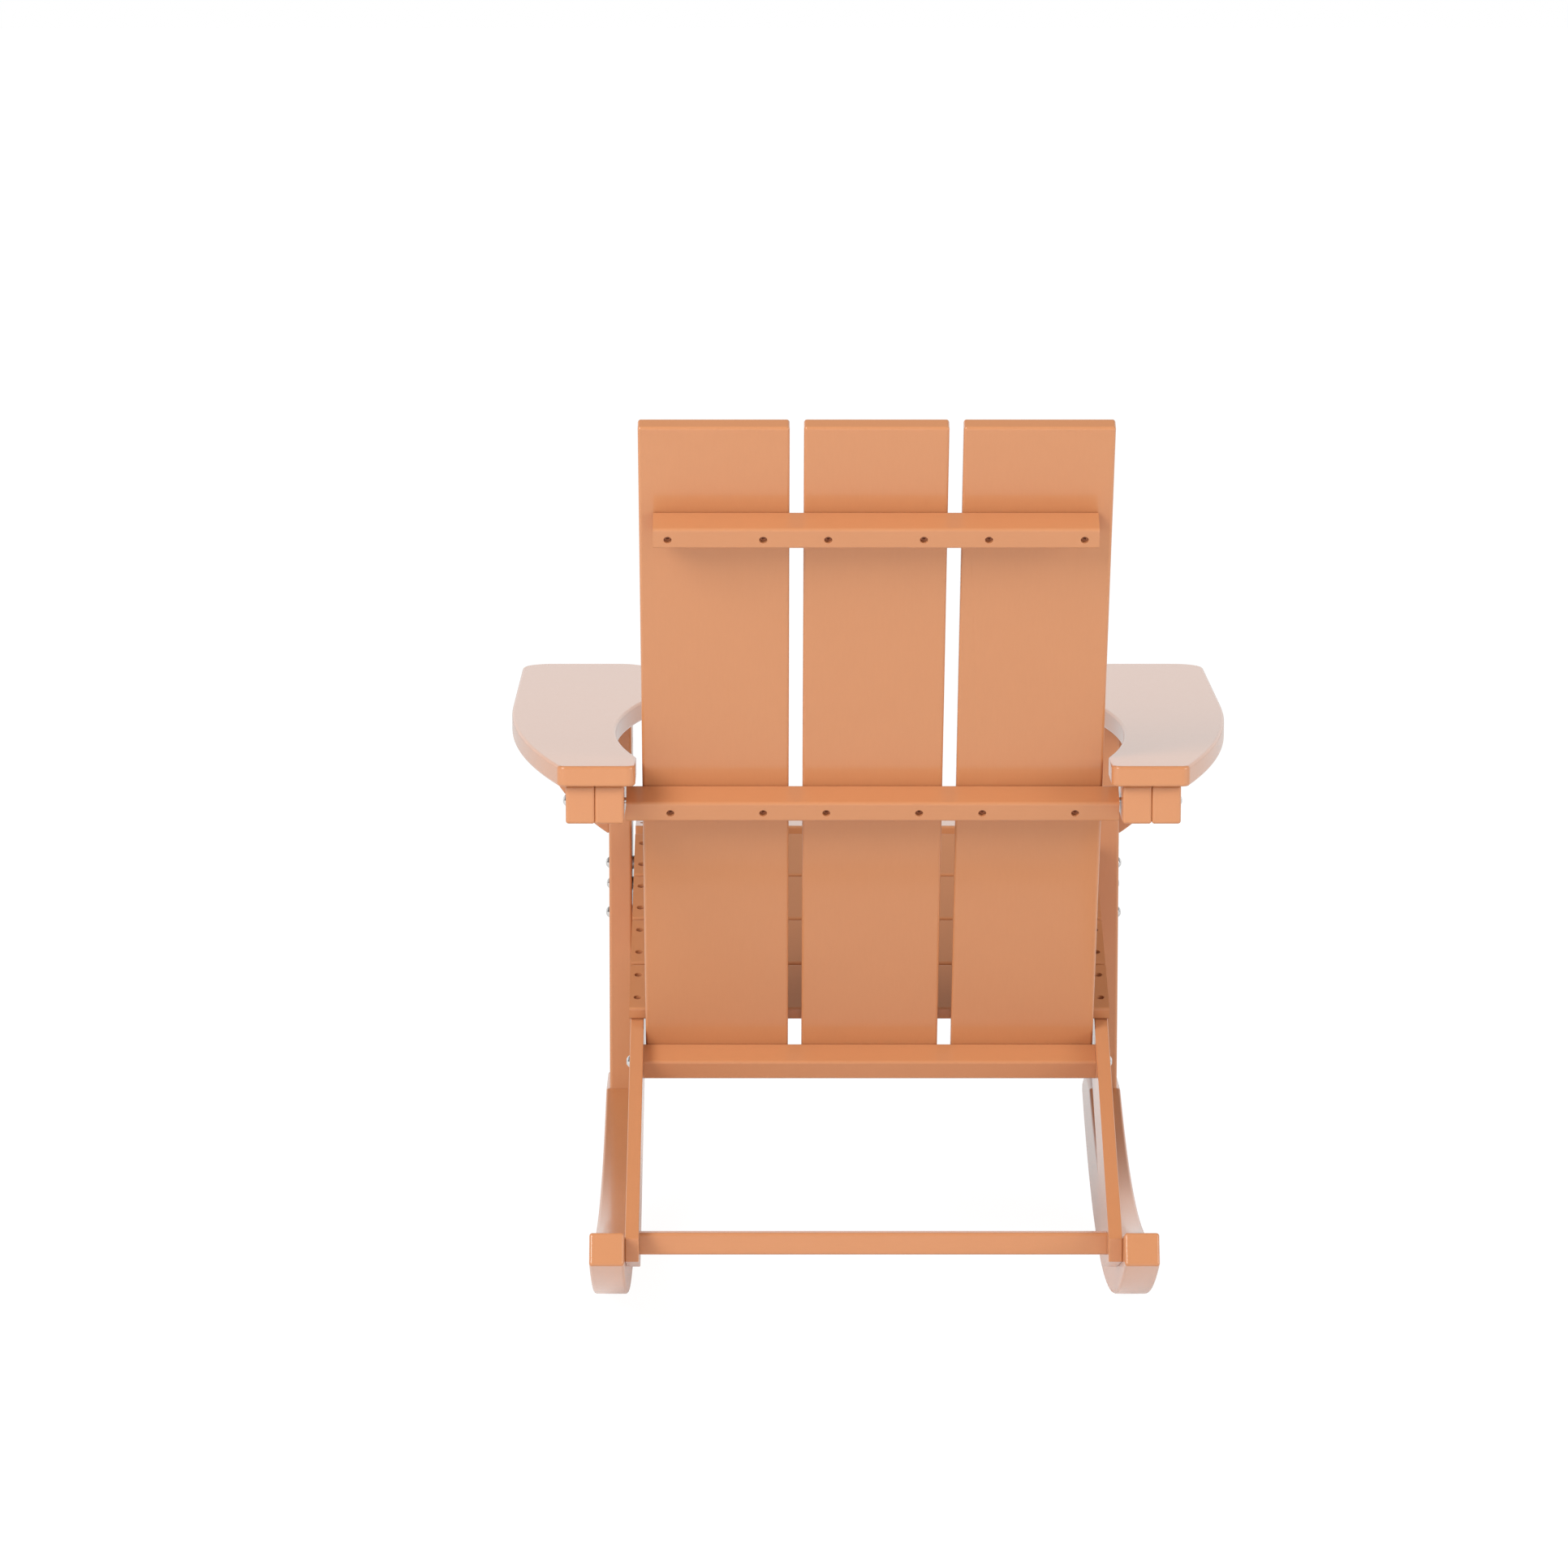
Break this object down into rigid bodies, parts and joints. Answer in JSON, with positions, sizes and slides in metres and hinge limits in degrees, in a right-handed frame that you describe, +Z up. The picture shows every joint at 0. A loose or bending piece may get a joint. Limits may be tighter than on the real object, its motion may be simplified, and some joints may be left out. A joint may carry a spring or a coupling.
{
  "type": "rocking adirondack chair",
  "caption": "Rocking adirondack chair in poly lumber, with a leaning slatted back, a sloping slatted seat, wide arms on brackets and curved rockers.",
  "frame": {"origin": "On the floor under the middle of the chair's overall width and depth.", "axes": "+Z up, the sitter faces -Y, +X is the sitter's left-hand side."},
  "size_m": [0.76, 0.8956, 0.9561],
  "materials": {
    "board": "satin, fine mottled grain",
    "steel": "polished"
  },
  "bodies": {
    "root": {"apron_screws": "steel", "arm_block_left": "board", "arm_block_right": "board", "arm_bracket_left": "board", "arm_bracket_right": "board", "arm_crossbar": "board", "arm_left": "board", "arm_rail_left": "board", "arm_rail_right": "board", "arm_right": "board", "arm_screws": "steel", "back_slat_centre": "board", "back_slat_left": "board", "back_slat_right": "board", "bracket_screws": "steel", "crossbar_bolts": "steel", "crossbar_screws": "steel", "foot_bolts": "steel", "front_apron": "board", "front_leg_left": "board", "front_leg_right": "board", "front_rail_bolts": "steel", "leg_bolts": "steel", "leg_spacers": "steel", "lower_back_rail": "board", "lower_rail_bolts": "steel", "nuts": "steel", "rear_stretcher": "board", "rocker_bolts": "steel", "rocker_left": "board", "rocker_right": "board", "seat_screws": "steel", "seat_slat_1": "board", "seat_slat_2": "board", "seat_slat_3": "board", "seat_slat_4": "board", "seat_slat_5": "board", "stretcher_screws": "steel", "stringer_left": "board", "stringer_right": "board", "upper_back_cleat": "board", "upper_cleat_screws": "steel", "washers": "steel"}
  },
  "joints": []
}
